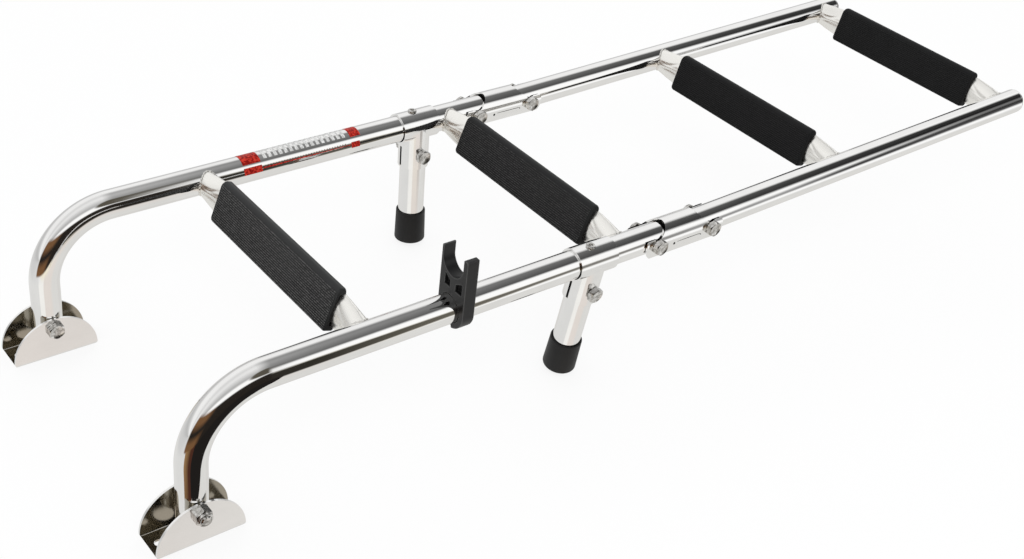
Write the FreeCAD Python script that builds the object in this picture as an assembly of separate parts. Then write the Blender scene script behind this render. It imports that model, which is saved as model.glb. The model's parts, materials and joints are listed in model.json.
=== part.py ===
import FreeCAD, Part
import math
import os

# Boat boarding ladder: two bent rails on deck brackets, two standoff legs, and a
# lower section that folds back over the upper one on double pivot hinges.
# Lengths are in millimetres and angles in degrees. +X runs along the ladder to its
# free end, +Y to the right rail, +Z away from the mounting surface.

# Rails
RAIL_SPACING = 265.0
RAIL_DIAMETER = 25.4
RAIL_WALL = 1.2
RAIL_HEIGHT = 129.0
BEND_RADIUS = 62.0
POST_TAIL = 16.0
FREE_END_X = 981.5
PLUG_DOME = 7.0
PLUG_DEPTH = 10.0
LOWER_SECTION_LIFT = 1.5

# Deck brackets
BRACKET_LENGTH = 74.0
BRACKET_CHEEK_RISE = 2.5
BRACKET_CORNER_RADIUS = 4.0
BRACKET_WALL = 2.0
BRACKET_FOLD_RADIUS = 3.0
BRACKET_BOLT_HEIGHT = 29.0
BRACKET_SIDE_GAP = 0.5
SMALL_HOLE_DIAMETER = 7.0
SMALL_HOLE_SPACING = 56.0
LARGE_HOLE_DIAMETER = 15.5
LARGE_HOLE_SPACING = 22.0

# Bolts and locknuts
BOLT_DIAMETER = 8.0
BOLT_HOLE_CLEARANCE = 0.05
HEAD_FLATS = 13.0
HEAD_HEIGHT = 5.3
NUT_FLATS = 13.0
NUT_HEIGHT = 7.5
HINGE_NUT_FLATS = 11.0
HINGE_NUT_HEIGHT = 3.5
NUT_COLLAR_SHARE = 0.3
NUT_COLLAR_STEP = 0.4
HEX_CORNER_SLOPE = 1.7
BOLT_TIP = 1.0
BOLT_TIP_CHAMFER = 0.8

# Rungs and treads
RUNG_WALL = 1.2
RUNG_1_X = 148.8
RUNG_2_X = 410.2
RUNG_3_FROM_END = 286.7
RUNG_4_FROM_END = 28.9
RUNG_PRESSED_WIDTH = 31.5
RUNG_PRESSED_THICKNESS = 10.4
RUNG_END_WIDTH = 22.8
RUNG_END_THICKNESS = 17.8
TREAD_LENGTH = 187.0
TREAD_WIDTH = 39.0
TREAD_WALL = 2.5
TREAD_DEPTH = 8.5
TREAD_NOSE_RADIUS = 4.0
UPPER_TREAD_TILT = 19.5
LOWER_TREAD_TILT = 16.0

# Double pivot hinges
HINGE_PIVOT_X = 442.5
HINGE_LINK_LENGTH = 65.0
HINGE_WALL = 1.6
HINGE_SIDE_GAP = 0.5
HINGE_SKIRT = 10.0
HINGE_END_RADIUS = 14.0
HINGE_WEB_CLEARANCE = 1.1
HINGE_TAIL = 10.0
HINGE_LIP_HALF_LENGTH = 15.0
HINGE_LIP_DEPTH = 5.0

# Stow clip for the folded rail
CLIP_X = 233.0
CLIP_WIDTH = 11.6
CLIP_RAIL_GAP = 0.2
CLIP_RING_WALL = 4.0
CLIP_OUTER_FACE = 18.3
CLIP_INNER_FACE = 15.5
CLIP_MOUTH_START = 255.0
CLIP_MOUTH_END = 300.0
HOOK_HEIGHT = 43.8
HOOK_SIDE_GAP = 0.5
HOOK_ARM = 9.5
HOOK_ARM_ROUND = 1.6
HOOK_ARM_FLAT = 0.2
POCKET_DEPTH = 3.6
POCKET_RIB_INNER = 1.8
POCKET_RIB_OUTER = 5.4
POCKET_END_INNER = 8.8
POCKET_END_OUTER = 13.8
POCKET_HOOK_WALL = 0.5
POCKET_SLOPE = 4.5
POCKET_RING_WALL = 2.4

# Standoff legs and their clamps
LEG_X = 375.5
LEG_REACH = 126.2
LEG_TILT_LEFT = 8.2
LEG_TILT_RIGHT = -2.5
LEG_TUBE_TOP = 15.0
LEG_BOLT_DROP = 28.0
CLAMP_LENGTH = 41.0
CLAMP_WALL = 1.8
CLAMP_GAP = 0.1
SOCKET_WALL = 2.2
SOCKET_DEPTH = 42.0
SLIT_WIDTH = 2.5
SLIT_TOP = 20.0
CLAMP_SCREW_OFFSET = -3.5
CLAMP_SCREW_DIAMETER = 5.0
CLAMP_SCREW_HEAD_DIAMETER = 8.6
CLAMP_SCREW_HEAD_HEIGHT = 1.8
CAP_HEIGHT = 33.0
CAP_TOP_DIAMETER = 29.0
CAP_BOTTOM_DIAMETER = 30.4
CAP_FLOOR = 5.0
CAP_EDGE = 1.5

# How far a cutting shape runs past the face it cuts, and how near counts as touching
PAST = 1.0
TOUCH = 0.01

RAIL_R = RAIL_DIAMETER / 2.0
RAIL_INNER_R = RAIL_R - RAIL_WALL
BOLT_R = BOLT_DIAMETER / 2.0
PIVOT_HOLE_R = BOLT_R + BOLT_HOLE_CLEARANCE
HINGE_FOLD_X = HINGE_PIVOT_X + HINGE_LINK_LENGTH
MID_Y = RAIL_SPACING / 2.0
BRACKET_HALF = RAIL_R + BRACKET_SIDE_GAP + BRACKET_WALL
HINGE_HALF = RAIL_R + HINGE_SIDE_GAP + HINGE_WALL
BAND_R = RAIL_R + CLAMP_GAP + CLAMP_WALL
SOCKET_R = RAIL_R + SOCKET_WALL
DIAG = math.sqrt(0.5)

# Name, rail position, direction to the ladder's middle, lean of the leg
SIDES = (
    ("left", 0.0, 1.0, LEG_TILT_LEFT),
    ("right", RAIL_SPACING, -1.0, LEG_TILT_RIGHT),
)

X_AXIS = FreeCAD.Vector(1, 0, 0)
Y_AXIS = FreeCAD.Vector(0, 1, 0)
Z_AXIS = FreeCAD.Vector(0, 0, 1)


def vec(x, y, z):
    return FreeCAD.Vector(x, y, z)


def save(name, shape):
    """Write one named solid to its own file."""
    shape = shape.removeSplitter() if len(shape.Solids) == 1 else shape
    solid = shape.Solids[0]
    if len(shape.Solids) != 1 or not solid.isValid():
        raise ValueError(name + " is not one valid solid")
    solid.exportStep("parts/" + name + ".step")
    print(name, round(solid.Volume, 1))


def box(x0, x1, y0, y1, z0, z1):
    """Box between two planes each way, given in either order."""
    corner = vec(min(x0, x1), min(y0, y1), min(z0, z1))
    return Part.makeBox(abs(x1 - x0), abs(y1 - y0), abs(z1 - z0), corner)


def rod_x(radius, x0, x1, y, z):
    return Part.makeCylinder(radius, x1 - x0, vec(x0, y, z), X_AXIS)


def rod_y(radius, x, y0, y1, z):
    return Part.makeCylinder(radius, y1 - y0, vec(x, y0, z), Y_AXIS)


def rod_z(radius, x, y, z0, z1):
    return Part.makeCylinder(radius, z1 - z0, vec(x, y, z0), Z_AXIS)


def cross_hole(radius, x, y, half, z):
    """Cutter for a hole along Y through something that reaches half to each side."""
    return rod_y(radius, x, y - half - PAST, y + half + PAST, z)


def wire_face(points):
    """Flat face from corner points, with (middle, end) pairs where an arc follows."""
    edges = []
    last = None
    for point in points:
        if isinstance(point, tuple):
            middle, end = point
            edges.append(Part.Arc(last, middle, end).toShape())
            last = end
            continue
        if last is not None:
            edges.append(Part.LineSegment(last, point).toShape())
        last = point
    return Part.Face(Part.Wire(edges))


def hex_prism_y(flats, x, y0, y1, z, round_side):
    """Hexagon bar along Y, its corners turned down at one end."""
    corner_r = flats / math.sqrt(3.0)
    points = []
    for k in range(7):
        angle = math.radians(60.0 * k + 30.0)
        points.append(vec(x + corner_r * math.cos(angle), y0, z + corner_r * math.sin(angle)))
    height = y1 - y0
    prism = wire_face(points).extrude(vec(0, height, 0))
    wide_r = flats / 2.0 + height * HEX_CORNER_SLOPE
    if round_side > 0:
        turned = Part.makeCone(wide_r, flats / 2.0, height, vec(x, y0, z), Y_AXIS)
    else:
        turned = Part.makeCone(flats / 2.0, wide_r, height, vec(x, y0, z), Y_AXIS)
    return prism.common(turned)


def face_about(shape, x, y, z, head_side):
    """Turn a fastener built with its head towards +Y to face the given way."""
    if head_side < 0:
        shape.rotate(vec(x, y, z), Z_AXIS, 180)
    return shape


def cross_bolt(x, y, z, grip, head_side, nut_height):
    """Hexagon bolt along Y: head on one side, its end just past the nut on the other."""
    end_y = y - grip - nut_height - BOLT_TIP
    shank = rod_y(BOLT_R, x, end_y, y + grip, z)
    head = hex_prism_y(HEAD_FLATS, x, y + grip, y + grip + HEAD_HEIGHT, z, 1)
    cone = Part.makeCone(BOLT_R - BOLT_TIP_CHAMFER, BOLT_R, BOLT_TIP_CHAMFER, vec(x, end_y, z), Y_AXIS)
    rim = rod_y(BOLT_R + PAST, x, end_y - PAST, end_y + BOLT_TIP_CHAMFER, z).cut(cone)
    return face_about(shank.fuse(head).cut(rim), x, y, z, head_side)


def locknut(x, y, z, grip, head_side, flats, height):
    """Hexagon nut with a rounded collar, opposite the bolt head."""
    collar_y = y - grip - height
    nut_y = collar_y + height * NUT_COLLAR_SHARE
    body = hex_prism_y(flats, x, nut_y, y - grip, z, -1)
    collar = rod_y(flats / 2.0 - NUT_COLLAR_STEP, x, collar_y, nut_y, z)
    nut = body.fuse(collar).cut(rod_y(BOLT_R, x, collar_y - PAST, y - grip + PAST, z))
    return face_about(nut, x, y, z, head_side)


def fold(y, z, radius, side, up):
    """Quarter arc of a sheet's fold: its middle and end, in the bracket's end plane."""
    x = -BRACKET_LENGTH / 2.0
    middle = vec(x, y - side * radius * DIAG, z - radius * DIAG)
    end = vec(x, y - side * radius, z) if up else vec(x, y, z - radius)
    return (middle, end)


def bracket_channel(y):
    """Sheet folded to a channel along X, square at both ends."""
    x = -BRACKET_LENGTH / 2.0
    inner = BRACKET_HALF - BRACKET_WALL
    top = BRACKET_CHEEK_RISE + BRACKET_LENGTH / 2.0
    centre = BRACKET_FOLD_RADIUS
    fold_in = BRACKET_FOLD_RADIUS - BRACKET_WALL
    left = y - BRACKET_HALF + centre
    right = y + BRACKET_HALF - centre
    profile = [
        vec(x, y - BRACKET_HALF, top),
        vec(x, y - BRACKET_HALF, centre),
        fold(left, centre, centre, 1, False),
        vec(x, right, 0),
        fold(right, centre, centre, -1, True),
        vec(x, y + BRACKET_HALF, top),
        vec(x, y + inner, top),
        vec(x, y + inner, centre),
        fold(right, centre, fold_in, -1, False),
        vec(x, left, BRACKET_WALL),
        fold(left, centre, fold_in, 1, True),
        vec(x, y - inner, top),
        vec(x, y - BRACKET_HALF, top),
    ]
    return wire_face(profile).extrude(vec(BRACKET_LENGTH, 0, 0))


def deck_bracket(y):
    """Folded channel with half-moon cheeks and the mounting holes in its base."""
    reach = BRACKET_LENGTH / 2.0
    wide = BRACKET_HALF + PAST
    moon = cross_hole(reach, 0, y, BRACKET_HALF, BRACKET_CHEEK_RISE)
    above = box(-reach, reach, y - wide, y + wide, BRACKET_CHEEK_RISE, BRACKET_CHEEK_RISE + reach)
    foot = box(-reach, reach, y - wide, y + wide, 0, BRACKET_CHEEK_RISE)
    solid = bracket_channel(y).common(moon.common(above).fuse(foot))
    corner = BRACKET_CORNER_RADIUS
    for sign in (-1, 1):
        block = box(sign * reach, sign * (reach - corner), y - wide, y + wide, 0, corner)
        solid = solid.cut(block.cut(cross_hole(corner, sign * (reach - corner), y, BRACKET_HALF, corner)))
    cuts = [cross_hole(BOLT_R, 0, y, BRACKET_HALF, BRACKET_BOLT_HEIGHT)]
    for diameter, spacing in (
        (SMALL_HOLE_DIAMETER, SMALL_HOLE_SPACING),
        (LARGE_HOLE_DIAMETER, LARGE_HOLE_SPACING),
    ):
        for sign in (-1, 1):
            cuts.append(rod_z(diameter / 2.0, sign * spacing / 2.0, y, -PAST, BRACKET_WALL + PAST))
    return solid.cut(cuts)


def bent_bar(radius, y, foot_z, end_x):
    """Round bar from the bracket up, round the bend and along to the hinge."""
    corner = RAIL_HEIGHT - BEND_RADIUS
    start = vec(0, y, foot_z)
    bend_start = vec(0, y, corner)
    bend_end = vec(BEND_RADIUS, y, RAIL_HEIGHT)
    bend_mid = vec(BEND_RADIUS * (1 - DIAG), y, corner + BEND_RADIUS * DIAG)
    path = Part.Wire([
        Part.LineSegment(start, bend_start).toShape(),
        Part.Arc(bend_start, bend_mid, bend_end).toShape(),
        Part.LineSegment(bend_end, vec(end_x, y, RAIL_HEIGHT)).toShape(),
    ])
    ring = Part.Wire([Part.makeCircle(radius, start, Z_AXIS)])
    return path.makePipeShell([ring], True, False)


def upper_rail(y):
    foot_z = BRACKET_BOLT_HEIGHT - POST_TAIL
    end_x = HINGE_PIVOT_X + HINGE_TAIL
    tube = bent_bar(RAIL_R, y, foot_z, end_x).cut(bent_bar(RAIL_INNER_R, y, foot_z, end_x))
    return tube.cut([
        cross_hole(PIVOT_HOLE_R, 0, y, RAIL_R, BRACKET_BOLT_HEIGHT),
        cross_hole(PIVOT_HOLE_R, HINGE_PIVOT_X, y, RAIL_R, RAIL_HEIGHT),
    ])


def lifted(shape):
    """Tip a piece of the lower section up about the fold bolts, as it rests."""
    shape.rotate(vec(HINGE_FOLD_X, 0, RAIL_HEIGHT), Y_AXIS, -LOWER_SECTION_LIFT)
    return shape


def lower_rail(y):
    start_x = HINGE_FOLD_X - HINGE_TAIL
    end_x = FREE_END_X - PLUG_DOME
    bore = rod_x(RAIL_INNER_R, start_x, end_x, y, RAIL_HEIGHT)
    tube = rod_x(RAIL_R, start_x, end_x, y, RAIL_HEIGHT).cut(bore)
    return lifted(tube.cut(cross_hole(PIVOT_HOLE_R, HINGE_FOLD_X, y, RAIL_R, RAIL_HEIGHT)))


def rail_plug(y):
    """Domed end plug with a spigot inside the tube."""
    end_x = FREE_END_X - PLUG_DOME
    spigot = rod_x(RAIL_INNER_R, end_x - PLUG_DEPTH, end_x, y, RAIL_HEIGHT)
    dome_r = (RAIL_R ** 2 + PLUG_DOME ** 2) / (2.0 * PLUG_DOME)
    ball = Part.makeSphere(dome_r, vec(FREE_END_X - dome_r, y, RAIL_HEIGHT))
    dome = ball.common(rod_x(RAIL_R, end_x, FREE_END_X, y, RAIL_HEIGHT))
    return lifted(spigot.fuse(dome))


def pressed_section(y, width, thickness):
    """Closed oval wire across the rung, long side along the tread."""
    oval = Part.Ellipse(vec(0, y, width / 2.0), vec(thickness / 2.0, y, 0), vec(0, y, 0))
    return Part.Wire([oval.toShape()])


def rung_bar(inset):
    """Bar from rail axis to rail axis, flat behind the tread and fuller at the rails."""
    width = RUNG_PRESSED_WIDTH - 2.0 * inset
    thickness = RUNG_PRESSED_THICKNESS - 2.0 * inset
    end_width = RUNG_END_WIDTH - 2.0 * inset
    end_thickness = RUNG_END_THICKNESS - 2.0 * inset
    tread_half = TREAD_LENGTH / 2.0
    end_half = MID_Y - RAIL_R
    middle = Part.Face(pressed_section(-tread_half, width, thickness))
    pieces = []
    for sign in (-1, 1):
        inner = pressed_section(sign * tread_half, width, thickness)
        outer = pressed_section(sign * end_half, end_width, end_thickness)
        pieces.append(Part.makeLoft([inner, outer], True, True))
        pieces.append(Part.Face(outer).extrude(vec(0, sign * RAIL_R, 0)))
    return middle.extrude(vec(0, TREAD_LENGTH, 0)).fuse(pieces)


def placed_step(shape, x, tilt):
    """Tilt a rung or tread built about its own axis and set it between the rails."""
    shape.rotate(vec(0, 0, 0), Y_AXIS, tilt)
    shape.translate(vec(x, MID_Y, RAIL_HEIGHT))
    return shape


def rung(x, tilt):
    """Pressed tube, its ends shaped to the rails."""
    bar = placed_step(rung_bar(0.0).cut(rung_bar(RUNG_WALL)), x, tilt)
    rails = [
        rod_x(RAIL_R, x - RUNG_END_WIDTH, x + RUNG_END_WIDTH, y, RAIL_HEIGHT)
        for y in (0.0, RAIL_SPACING)
    ]
    return max(bar.cut(rails).Solids, key=lambda solid: solid.Volume)


def tread(x, tilt):
    """Moulded step cover: flat face, rounded nose and a return lip each side."""
    half = TREAD_WIDTH / 2.0
    face = -RUNG_PRESSED_THICKNESS / 2.0 - TREAD_WALL
    back = face + TREAD_DEPTH
    wall = TREAD_WALL
    nose = TREAD_NOSE_RADIUS
    nose_in = nose - wall
    end = -TREAD_LENGTH / 2.0
    outer_nose = (
        vec(face + nose * (1 - DIAG), end, half - nose * (1 - DIAG)),
        vec(face + nose, end, half),
    )
    lip_end = (
        vec(back, end, half - wall / 2.0),
        vec(back - wall / 2.0, end, half - wall),
    )
    inner_nose = (
        vec(face + nose - nose_in * DIAG, end, half - wall - nose_in * (1 - DIAG)),
        vec(face + wall, end, half - nose),
    )
    outline = [
        vec(back, end, -half),
        vec(face, end, -half),
        vec(face, end, half - nose),
        outer_nose,
        vec(back - wall / 2.0, end, half),
        lip_end,
        vec(face + nose, end, half - wall),
        inner_nose,
        vec(face + wall, end, -half + wall),
        vec(back, end, -half + wall),
        vec(back, end, -half),
    ]
    solid = wire_face(outline).extrude(vec(0, TREAD_LENGTH, 0))
    oval = Part.Face(pressed_section(end - PAST, RUNG_PRESSED_WIDTH, RUNG_PRESSED_THICKNESS))
    return placed_step(solid.cut(oval.extrude(vec(0, TREAD_LENGTH + 2.0 * PAST, 0))), x, tilt)


def hinge_sleeve(y):
    """Half-round channel over both tube ends, open above each pivot."""
    inner = RAIL_R + HINGE_SIDE_GAP
    outer = HINGE_HALF
    x0 = HINGE_PIVOT_X - HINGE_END_RADIUS
    x1 = HINGE_FOLD_X + HINGE_END_RADIUS
    z = RAIL_HEIGHT
    skirt_z = z - HINGE_SKIRT
    top = z + outer + PAST
    shell = rod_x(outer, x0, x1, y, z)
    shell = shell.cut(box(x0, x1, y - outer, y + outer, z - outer, z))
    shell = shell.fuse(box(x0, x1, y - outer, y + outer, skirt_z, z))
    bore = rod_x(inner, x0, x1, y, z).fuse(box(x0, x1, y - inner, y + inner, skirt_z, z))
    ends = cross_hole(HINGE_END_RADIUS, HINGE_PIVOT_X, y, outer, z)
    ends = ends.fuse(cross_hole(HINGE_END_RADIUS, HINGE_FOLD_X, y, outer, z))
    middle = box(HINGE_PIVOT_X, HINGE_FOLD_X, y - outer, y + outer, skirt_z, top)
    shell = shell.cut(bore).common(ends.fuse(middle))
    cuts = [
        box(x0, HINGE_PIVOT_X, y - inner, y + inner, z, top),
        box(HINGE_FOLD_X, x1, y - inner, y + inner, z, top),
    ]
    for pivot in (HINGE_PIVOT_X, HINGE_FOLD_X):
        cuts.append(rod_z(RAIL_R + HINGE_WEB_CLEARANCE, pivot, y, z, top))
        cuts.append(cross_hole(BOLT_R, pivot, y, outer, z))
    centre = (HINGE_PIVOT_X + HINGE_FOLD_X) / 2.0
    lip_x0 = centre - HINGE_LIP_HALF_LENGTH
    lip_x1 = centre + HINGE_LIP_HALF_LENGTH
    lips = []
    for sign in (-1, 1):
        wall_y = y + sign * inner
        lip_y = wall_y - sign * HINGE_LIP_DEPTH
        lips.append(box(lip_x0, lip_x1, wall_y, lip_y, skirt_z, skirt_z + HINGE_WALL))
    return shell.cut(cuts).fuse(lips)


def clip_pockets(y, x, depth):
    """Two blind pockets in the clip's web, one each side of its rib."""
    ring_z = RAIL_HEIGHT + RAIL_R + CLIP_RAIL_GAP + CLIP_RING_WALL + POCKET_RING_WALL
    hook_z = RAIL_HEIGHT + HOOK_HEIGHT - RAIL_R - HOOK_SIDE_GAP - POCKET_HOOK_WALL
    pockets = []
    for rib, end in ((POCKET_RIB_INNER, POCKET_END_INNER), (-POCKET_RIB_OUTER, -POCKET_END_OUTER)):
        corners = [
            vec(x, y + end, hook_z),
            vec(x, y + rib, hook_z - POCKET_SLOPE),
            vec(x, y + rib, ring_z),
            vec(x, y + end, ring_z),
            vec(x, y + end, hook_z),
        ]
        pockets.append(wire_face(corners).extrude(vec(depth, 0, 0)))
    return pockets


def stow_clip(y):
    """Straight-sided clip sprung on the upper rail, its hook open for the folded rail."""
    x0 = CLIP_X - CLIP_WIDTH / 2.0
    x1 = CLIP_X + CLIP_WIDTH / 2.0
    z = RAIL_HEIGHT
    ring_in = RAIL_R + CLIP_RAIL_GAP
    ring_out = ring_in + CLIP_RING_WALL
    hook_in = RAIL_R + HOOK_SIDE_GAP
    hook_z = z + HOOK_HEIGHT
    arm_z = hook_z + HOOK_ARM
    low_y = y - CLIP_OUTER_FACE
    high_y = y + CLIP_INNER_FACE
    block = box(x0, x1, low_y, high_y, z, hook_z)
    outer_arm = box(x0, x1, low_y, y - hook_in, hook_z, arm_z)
    inner_arm = box(x0, x1, y + hook_in, high_y, hook_z, arm_z)
    half_ring = box(x0, x1, low_y, high_y, z - ring_out, z)
    ring = rod_x(ring_out, x0, x1, low_y + ring_out, z).common(half_ring)
    solid = block.fuse([outer_arm, inner_arm, ring])
    far = 2.0 * ring_out
    mouth = [vec(x0, y, z)]
    for angle in (CLIP_MOUTH_START, CLIP_MOUTH_END):
        turn = math.radians(angle)
        mouth.append(vec(x0, y + far * math.cos(turn), z + far * math.sin(turn)))
    mouth.append(vec(x0, y, z))
    cuts = [
        rod_x(ring_in, x0 - PAST, x1 + PAST, y, z),
        rod_x(hook_in, x0 - PAST, x1 + PAST, y, hook_z),
        wire_face(mouth).extrude(vec(CLIP_WIDTH, 0, 0)),
    ]
    cuts += clip_pockets(y, x0 - PAST, POCKET_DEPTH + PAST)
    cuts += clip_pockets(y, x1 - POCKET_DEPTH, POCKET_DEPTH + PAST)
    solid = solid.cut(cuts)
    tips = []
    for edge in solid.Edges:
        bounds = edge.BoundBox
        on_top = bounds.ZMin > arm_z - TOUCH
        across = bounds.XLength > CLIP_WIDTH - TOUCH
        outside = bounds.YMin < low_y + TOUCH or bounds.YMax > high_y - TOUCH
        if on_top and across and outside:
            tips.append(edge)
    thinner = min(high_y - y, y - low_y) - hook_in
    return solid.makeFillet(min(HOOK_ARM_ROUND, thinner - HOOK_ARM_FLAT), tips)


def leaned(shape, y, tilt):
    """Turn a shape built straight down from the rail about the rail's axis."""
    shape.rotate(vec(LEG_X, y, RAIL_HEIGHT), X_AXIS, tilt)
    return shape


def leg_clamp(y, tilt):
    """Tee that wraps the rail and holds the leg tube in a split socket."""
    z = RAIL_HEIGHT
    x0 = LEG_X - CLAMP_LENGTH / 2.0
    x1 = LEG_X + CLAMP_LENGTH / 2.0
    low_z = z - SOCKET_DEPTH
    slit = SLIT_WIDTH / 2.0
    solid = rod_x(BAND_R, x0, x1, y, z).fuse(rod_z(SOCKET_R, LEG_X, y, low_z, z))
    cuts = [
        rod_x(RAIL_R + CLAMP_GAP, x0 - PAST, x1 + PAST, y, z),
        rod_z(RAIL_R, LEG_X, y, low_z - PAST, z),
        box(LEG_X - SOCKET_R - PAST, LEG_X, y - slit, y + slit, low_z - PAST, z - SLIT_TOP),
        cross_hole(BOLT_R, LEG_X, y, SOCKET_R, z - LEG_BOLT_DROP),
        rod_z(CLAMP_SCREW_DIAMETER / 2.0, LEG_X + CLAMP_SCREW_OFFSET, y, z, z + BAND_R + PAST),
    ]
    return leaned(solid.cut(cuts), y, tilt)


def leg_tube(y, tilt):
    top = RAIL_HEIGHT - LEG_TUBE_TOP
    foot = RAIL_HEIGHT - LEG_REACH + CAP_FLOOR
    tube = rod_z(RAIL_R, LEG_X, y, foot, top).cut(rod_z(RAIL_INNER_R, LEG_X, y, foot, top))
    return leaned(tube.cut(cross_hole(BOLT_R, LEG_X, y, RAIL_R, RAIL_HEIGHT - LEG_BOLT_DROP)), y, tilt)


def leg_cap(y, tilt):
    """Tapered end cap over the foot of the leg."""
    foot = RAIL_HEIGHT - LEG_REACH
    bottom_r = CAP_BOTTOM_DIAMETER / 2.0
    cone = Part.makeCone(bottom_r, CAP_TOP_DIAMETER / 2.0, CAP_HEIGHT, vec(LEG_X, y, foot), Z_AXIS)
    edges = [e for e in cone.Edges if e.BoundBox.ZMax < foot + TOUCH and e.Closed]
    cone = cone.makeFillet(CAP_EDGE, edges)
    cone = cone.cut(rod_z(RAIL_R, LEG_X, y, foot + CAP_FLOOR, foot + CAP_HEIGHT + PAST))
    return leaned(cone, y, tilt)


def clamp_screw(y, tilt):
    """Pan head screw through the top of the clamp band, its head seated on the band."""
    x = LEG_X + CLAMP_SCREW_OFFSET
    head_r = CLAMP_SCREW_HEAD_DIAMETER / 2.0
    crown = RAIL_HEIGHT + BAND_R
    x0 = x - head_r - PAST
    x1 = x + head_r + PAST
    head = rod_z(head_r, x, y, RAIL_HEIGHT, crown + CLAMP_SCREW_HEAD_HEIGHT)
    head = head.cut(rod_x(BAND_R, x0, x1, y, RAIL_HEIGHT))
    shank = rod_z(CLAMP_SCREW_DIAMETER / 2.0, x, y, RAIL_HEIGHT, crown)
    shank = shank.cut(rod_x(RAIL_R, x0, x1, y, RAIL_HEIGHT))
    return leaned(head.fuse(shank), y, tilt)


def save_pivot(kind, name, x, y):
    """Bolt and locknut of one hinge pivot, head towards the left."""
    bolt = cross_bolt(x, y, RAIL_HEIGHT, HINGE_HALF, -1.0, HINGE_NUT_HEIGHT)
    nut = locknut(x, y, RAIL_HEIGHT, HINGE_HALF, -1.0, HINGE_NUT_FLATS, HINGE_NUT_HEIGHT)
    save(kind + "_bolt_" + name, bolt)
    save(kind + "_nut_" + name, nut)


def save_leg(name, y, tilt):
    """Leg with its cap, clamp, cross bolt and clamp screw."""
    bolt_z = RAIL_HEIGHT - LEG_BOLT_DROP
    bolt = cross_bolt(LEG_X, y, bolt_z, SOCKET_R, -1.0, NUT_HEIGHT)
    nut = locknut(LEG_X, y, bolt_z, SOCKET_R, -1.0, NUT_FLATS, NUT_HEIGHT)
    save("leg_clamp_" + name, leg_clamp(y, tilt))
    save("leg_tube_" + name, leg_tube(y, tilt))
    save("leg_cap_" + name, leg_cap(y, tilt))
    save("leg_bolt_" + name, leaned(bolt, y, tilt))
    save("leg_nut_" + name, leaned(nut, y, tilt))
    save("clamp_screw_" + name, clamp_screw(y, tilt))


def save_bracket(name, y, inward):
    """Deck bracket with the bolt and nut that carry the post."""
    z = BRACKET_BOLT_HEIGHT
    save("bracket_" + name, deck_bracket(y))
    save("bracket_bolt_" + name, cross_bolt(0, y, z, BRACKET_HALF, inward, NUT_HEIGHT))
    save("bracket_nut_" + name, locknut(0, y, z, BRACKET_HALF, inward, NUT_FLATS, NUT_HEIGHT))


os.makedirs("parts", exist_ok=True)

for name, y, inward, tilt in SIDES:
    save_bracket(name, y, inward)
    save("upper_rail_" + name, upper_rail(y))
    save("lower_rail_" + name, lower_rail(y))
    save("rail_plug_" + name, rail_plug(y))
    save("hinge_sleeve_" + name, hinge_sleeve(y))
    save_pivot("hinge_pivot", name, HINGE_PIVOT_X, y)
    save_pivot("hinge_fold", name, HINGE_FOLD_X, y)
    save_leg(name, y, tilt)

for number, x in ((1, RUNG_1_X), (2, RUNG_2_X)):
    save("rung_" + str(number), rung(x, UPPER_TREAD_TILT))
    save("tread_" + str(number), tread(x, UPPER_TREAD_TILT))

for number, from_end in ((3, RUNG_3_FROM_END), (4, RUNG_4_FROM_END)):
    x = FREE_END_X - from_end
    save("rung_" + str(number), lifted(rung(x, LOWER_TREAD_TILT)))
    save("tread_" + str(number), lifted(tread(x, LOWER_TREAD_TILT)))

save("stow_clip", stow_clip(0.0))
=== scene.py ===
import json
from math import copysign, cos, exp, pi, radians, sin, sqrt

import bmesh
import bpy
from mathutils import Matrix, Vector


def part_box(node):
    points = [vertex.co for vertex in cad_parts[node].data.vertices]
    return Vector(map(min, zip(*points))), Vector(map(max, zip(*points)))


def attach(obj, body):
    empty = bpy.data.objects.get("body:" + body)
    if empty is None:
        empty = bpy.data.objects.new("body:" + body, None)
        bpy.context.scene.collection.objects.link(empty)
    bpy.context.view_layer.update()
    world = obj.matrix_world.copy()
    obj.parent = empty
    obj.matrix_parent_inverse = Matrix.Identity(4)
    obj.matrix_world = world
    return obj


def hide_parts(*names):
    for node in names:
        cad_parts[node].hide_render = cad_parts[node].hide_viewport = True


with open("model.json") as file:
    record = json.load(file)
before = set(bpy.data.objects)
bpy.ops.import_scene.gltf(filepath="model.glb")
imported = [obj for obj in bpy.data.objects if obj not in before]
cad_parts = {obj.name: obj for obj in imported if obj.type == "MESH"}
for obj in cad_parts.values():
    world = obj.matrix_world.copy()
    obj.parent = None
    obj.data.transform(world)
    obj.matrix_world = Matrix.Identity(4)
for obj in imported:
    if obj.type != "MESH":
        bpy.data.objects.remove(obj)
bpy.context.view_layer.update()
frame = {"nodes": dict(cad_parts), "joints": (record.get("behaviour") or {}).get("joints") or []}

# Sizes are in metres and read from the frame where it has them.
MM = 0.001


def mm(*sizes):
    """Sizes in millimetres as metres."""
    return tuple(size * MM for size in sizes)


ORIGIN = Vector((0, 0, 0))
X_AXIS = Vector((1, 0, 0))
Y_AXIS = Vector((0, 1, 0))
Z_AXIS = Vector((0, 0, 1))
SIDES = ("left", "right")
RAIL_BOX = {side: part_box("upper_rail_" + side) for side in SIDES}
RAIL_Y = {side: (low.y + high.y) / 2 for side, (low, high) in RAIL_BOX.items()}
MID_Y = (RAIL_Y["left"] + RAIL_Y["right"]) / 2
RAIL_LOW, RAIL_HIGH = RAIL_BOX["left"]
RAIL_R = (RAIL_HIGH.y - RAIL_LOW.y) / 2
RAIL_Z = RAIL_HIGH.z - RAIL_R
POST_FOOT_Z = RAIL_LOW.z
JOINT = {joint["name"]: Vector(joint["pos_m"]) for joint in frame["joints"]}
PIVOT_X = JOINT["hinge_link_turn"].x
FOLD_X = JOINT["lower_section_fold"].x
BRACKET_BOLT_Z = JOINT["bracket_swing"].z

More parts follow.
